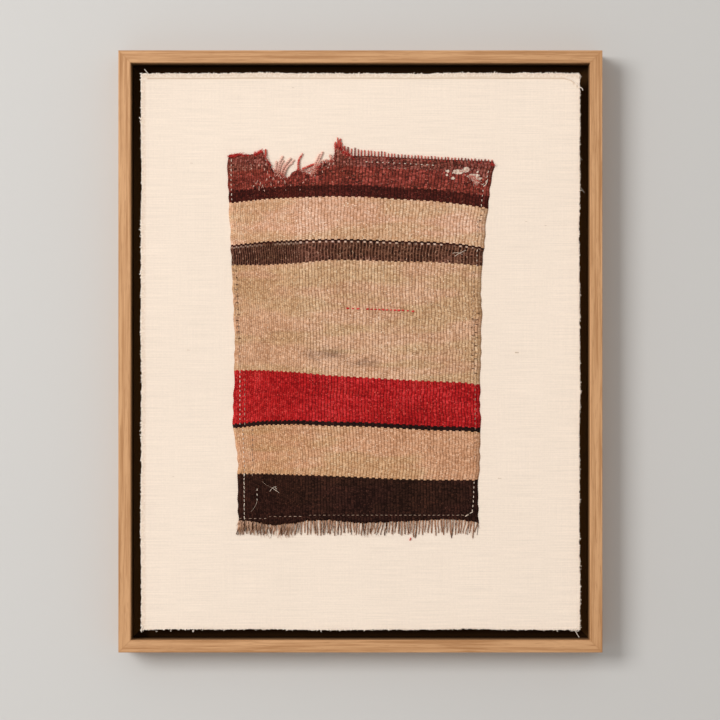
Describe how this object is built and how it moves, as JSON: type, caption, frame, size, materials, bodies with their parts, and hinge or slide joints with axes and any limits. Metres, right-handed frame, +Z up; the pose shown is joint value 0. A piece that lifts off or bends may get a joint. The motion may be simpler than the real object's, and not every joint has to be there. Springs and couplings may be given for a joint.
{
  "type": "framed kilim fragment",
  "caption": "Torn fragment of striped flat-woven kilim with a warp fringe, laid on raw-edged cream canvas in an oak tray frame.",
  "frame": {"origin": "the middle of the top rail's back face, where the frame meets the wall", "axes": "+Z up along the frame's long side, +Y out of the back towards the wall, +X to the right as the front is seen"},
  "size_m": [0.402, 0.03, 0.5],
  "materials": {
    "oak": "satin",
    "board": "matte",
    "canvas": "matte",
    "wool": "matte",
    "warp_grey": "matte",
    "warp_red": "matte"
  },
  "bodies": {
    "root": {"rail_top": "oak", "rail_bottom": "oak", "rail_left": "oak", "rail_right": "oak", "mount_board": "board", "backing_cloth": "canvas", "kilim": "wool", "fringe_bottom": "warp_grey", "fringe_top": "warp_red", "torn_threads": "warp_red"}
  },
  "joints": []
}
